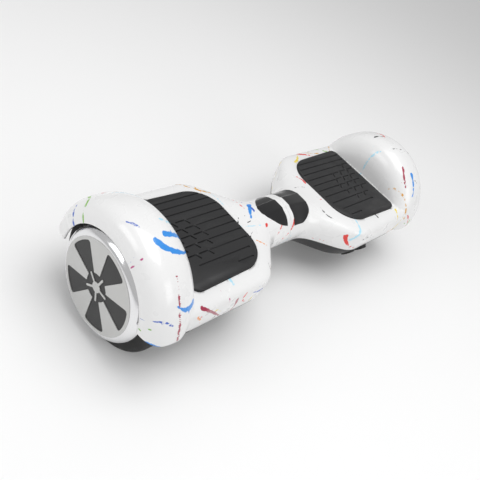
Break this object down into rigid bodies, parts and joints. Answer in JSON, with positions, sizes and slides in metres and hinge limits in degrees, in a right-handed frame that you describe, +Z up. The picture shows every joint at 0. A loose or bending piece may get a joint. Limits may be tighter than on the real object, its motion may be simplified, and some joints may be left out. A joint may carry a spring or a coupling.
{
  "type": "self balancing board",
  "caption": "Two-wheeled self balancing board whose printed halves twist about a middle pivot, with ribbed foot pads, wheel arches and hub motor wheels.",
  "frame": {"origin": "on the floor, under the middle of the board", "axes": "+X along the wheel axles towards the half with the charging socket, +Y the way the rider faces, +Z up"},
  "size_m": [0.584, 0.192, 0.1785],
  "materials": {
    "printed_shell": "glossy white moulding with a printed graffiti pattern",
    "black_shell": "fine grained black moulding",
    "smoked_window": "glossy black window",
    "lamp_lens": "clear blue tinted lens",
    "pad_rubber": "moulded black rubber with ribs and chevrons",
    "tyre_rubber": "solid black rubber",
    "polished_rim": "polished",
    "hub_silver": "satin silver",
    "hub_black": "glossy black inlay",
    "cast_alloy": "bead blasted casting",
    "steel": "machined steel",
    "motor_core": "laminated core with copper windings",
    "magnets": "nickel plated",
    "bronze": "sintered bronze",
    "nylon": "black nylon",
    "circuit_board": "green solder resist with parts",
    "battery_wrap": "shrink wrapped cells",
    "cap_rubber": "soft black rubber"
  },
  "bodies": {
    "left_half": {"left_upper_shell": "printed_shell", "left_lower_shell": "black_shell", "left_display_lens": "smoked_window", "left_headlamp_lens": "lamp_lens", "left_lamp_board": "circuit_board", "left_sensor_board": "circuit_board", "left_chassis": "cast_alloy", "left_axle_clamp": "cast_alloy", "left_clamp_screws": "steel", "left_shell_screws": "steel", "left_axle": "steel", "left_stator": "motor_core", "pivot_shaft": "steel", "spacer_sleeve": "nylon", "pivot_circlip": "steel", "twist_stop_pin": "steel", "pivot_set_screw": "steel", "main_board": "circuit_board", "indicator_board": "circuit_board"},
    "right_half": {"right_upper_shell": "printed_shell", "right_lower_shell": "black_shell", "right_display_lens": "smoked_window", "right_headlamp_lens": "lamp_lens", "right_lamp_board": "circuit_board", "right_sensor_board": "circuit_board", "right_chassis": "cast_alloy", "right_axle_clamp": "cast_alloy", "right_clamp_screws": "steel", "right_shell_screws": "steel", "right_axle": "steel", "right_stator": "motor_core", "pivot_bush_inner": "bronze", "pivot_bush_outer": "bronze", "battery_pack": "battery_wrap", "power_switch": "nylon", "charge_port": "nylon"},
    "left_wheel": {"left_tyre": "tyre_rubber", "left_rim": "polished_rim", "left_hub_cover": "hub_silver", "left_hub_inlay": "hub_black", "left_motor_end_cover": "cast_alloy", "left_cover_screws": "steel", "left_magnet_ring": "magnets", "left_bearing_inner": "steel", "left_bearing_outer": "steel"},
    "right_wheel": {"right_tyre": "tyre_rubber", "right_rim": "polished_rim", "right_hub_cover": "hub_silver", "right_hub_inlay": "hub_black", "right_motor_end_cover": "cast_alloy", "right_cover_screws": "steel", "right_magnet_ring": "magnets", "right_bearing_inner": "steel", "right_bearing_outer": "steel"},
    "left_pad": {"left_foot_pad": "pad_rubber"},
    "right_pad": {"right_foot_pad": "pad_rubber"},
    "power_button_body": {"power_button": "smoked_window"},
    "charge_cap_body": {"charge_cap": "cap_rubber"}
  },
  "joints": [
    {"name": "centre_twist", "type": "hinge", "parent": "left_half", "child": "right_half", "pos_m": [0, 0, 0.0883], "axis": [1, 0, 0], "range_deg": [-12, 12]},
    {"name": "left_wheel_spin", "type": "hinge", "parent": "left_half", "child": "left_wheel", "pos_m": [-0.2543, 0, 0.0825], "axis": [1, 0, 0], "continuous": true},
    {"name": "right_wheel_spin", "type": "hinge", "parent": "right_half", "child": "right_wheel", "pos_m": [0.2543, 0, 0.0825], "axis": [1, 0, 0], "continuous": true},
    {"name": "left_pad_press", "type": "slide", "parent": "left_half", "child": "left_pad", "axis": [0, 0, -1], "range_m": [0, 0.0015], "stiffness_N_per_m": 6000, "springref_m": -0.0005},
    {"name": "right_pad_press", "type": "slide", "parent": "right_half", "child": "right_pad", "axis": [0, 0, -1], "range_m": [0, 0.0015], "stiffness_N_per_m": 6000, "springref_m": -0.0005},
    {"name": "power_button_press", "type": "slide", "parent": "right_half", "child": "power_button_body", "axis": [0, 0.8192, 0.5736], "range_m": [0, 0.0012], "stiffness_N_per_m": 400, "springref_m": -0.0005},
    {"name": "charge_cap_swing", "type": "hinge", "parent": "right_half", "child": "charge_cap_body", "pos_m": [0.156, -0.07722, 0.04656], "axis": [1, 0, 0], "range_deg": [0, 120]}
  ]
}
